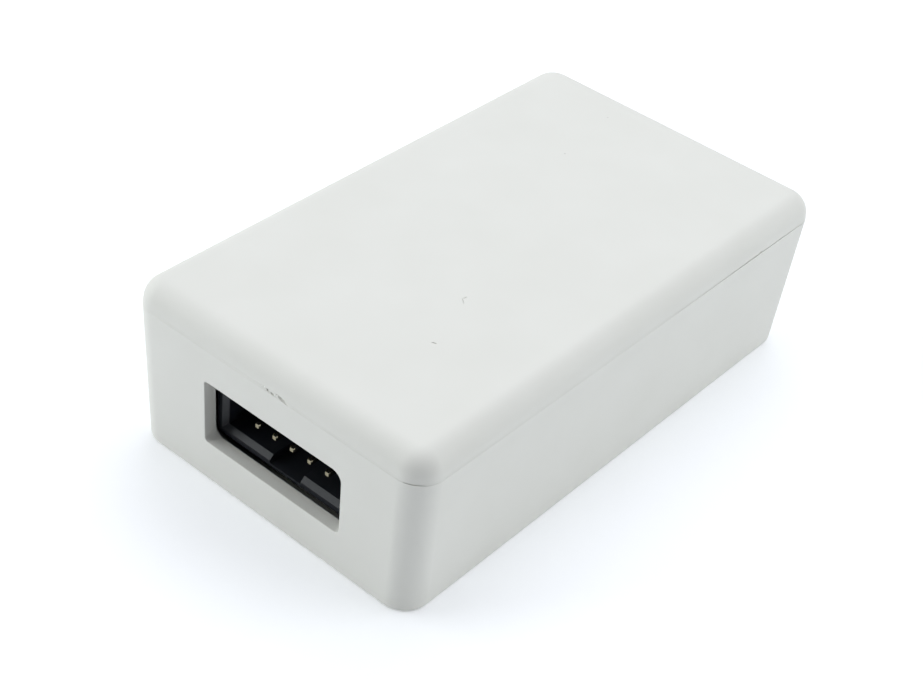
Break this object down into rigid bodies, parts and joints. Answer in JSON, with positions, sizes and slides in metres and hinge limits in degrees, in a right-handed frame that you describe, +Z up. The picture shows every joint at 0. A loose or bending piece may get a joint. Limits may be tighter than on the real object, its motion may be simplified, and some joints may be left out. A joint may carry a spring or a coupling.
{
  "type": "usb microcontroller programmer",
  "caption": "Small rectangular light grey plastic case holding a circuit board, with a shrouded pin header at one end and a square USB port at the other, for loading code into chips.",
  "frame": {"origin": "middle of the case's resting face, on the bench", "axes": "+Z up through the cover, +Y along the case towards the USB port, -Y towards the programming header, +X across the case"},
  "size_m": [0.041, 0.071, 0.021],
  "materials": {
    "case_plastic": "fine moulded texture, warm light grey",
    "label_film": "satin polyester film, blank",
    "board_laminate": "green solder mask on glass-fibre laminate",
    "solder": "bright solder",
    "header_plastic": "black glass-filled moulding",
    "gold_plate": "thin gold plate",
    "nickel_sheet": "nickel-plated sheet",
    "socket_plastic": "white moulding",
    "green_lens": "tinted clouded lens",
    "red_lens": "tinted clouded lens",
    "tinned_lead": "matt tin plate",
    "chip_epoxy": "black moulding compound",
    "crystal_metal": "drawn nickel-silver can",
    "capacitor_can": "drawn aluminium can",
    "capacitor_base": "black moulding",
    "tantalum_resin": "ochre moulding compound",
    "capacitor_ceramic": "fired tan ceramic",
    "resistor_glaze": "black glaze on alumina",
    "fuse_resin": "dull green polymer sheet",
    "ferrite": "dark grey sintered ferrite"
  },
  "bodies": {
    "case_base": {"deep_shell": "case_plastic", "name_label": "label_film"},
    "board_assembly": {"circuit_board": "board_laminate", "solder_joints": "solder", "header_housing": "header_plastic", "header_upper_pins": "gold_plate", "header_lower_pins": "gold_plate", "usb_contacts": "gold_plate", "usb_shell": "nickel_sheet", "usb_insulator": "socket_plastic", "power_led": "green_lens", "status_led": "red_lens", "power_led_leads": "tinned_lead", "status_led_leads": "tinned_lead", "controller_leads": "tinned_lead", "level_shifter_leads": "tinned_lead", "regulator_leads": "tinned_lead", "usb_guard_leads": "tinned_lead", "crystal_leads": "tinned_lead", "reservoir_capacitor_leads": "tinned_lead", "tantalum_capacitor_ends": "tinned_lead", "ceramic_capacitor_ends": "tinned_lead", "chip_resistor_ends": "tinned_lead", "resistor_array_ends": "tinned_lead", "resettable_fuse_ends": "tinned_lead", "ferrite_bead_ends": "tinned_lead", "controller_body": "chip_epoxy", "level_shifter_body": "chip_epoxy", "regulator_body": "chip_epoxy", "usb_guard_body": "chip_epoxy", "crystal_can": "crystal_metal", "reservoir_capacitor_can": "capacitor_can", "reservoir_capacitor_base": "capacitor_base", "tantalum_capacitor_body": "tantalum_resin", "ceramic_capacitor_bodies": "capacitor_ceramic", "chip_resistor_bodies": "resistor_glaze", "resistor_array_bodies": "resistor_glaze", "resettable_fuse_body": "fuse_resin", "ferrite_bead_body": "ferrite"},
    "lid": {"cover": "case_plastic"}
  },
  "joints": [
    {"name": "board_lift", "type": "slide", "parent": "case_base", "child": "board_assembly", "axis": [0, 0, 1], "range_m": [0, 0.03]},
    {"name": "lid_lift", "type": "slide", "parent": "board_assembly", "child": "lid", "axis": [0, 0, 1], "range_m": [0, 0.03]}
  ]
}
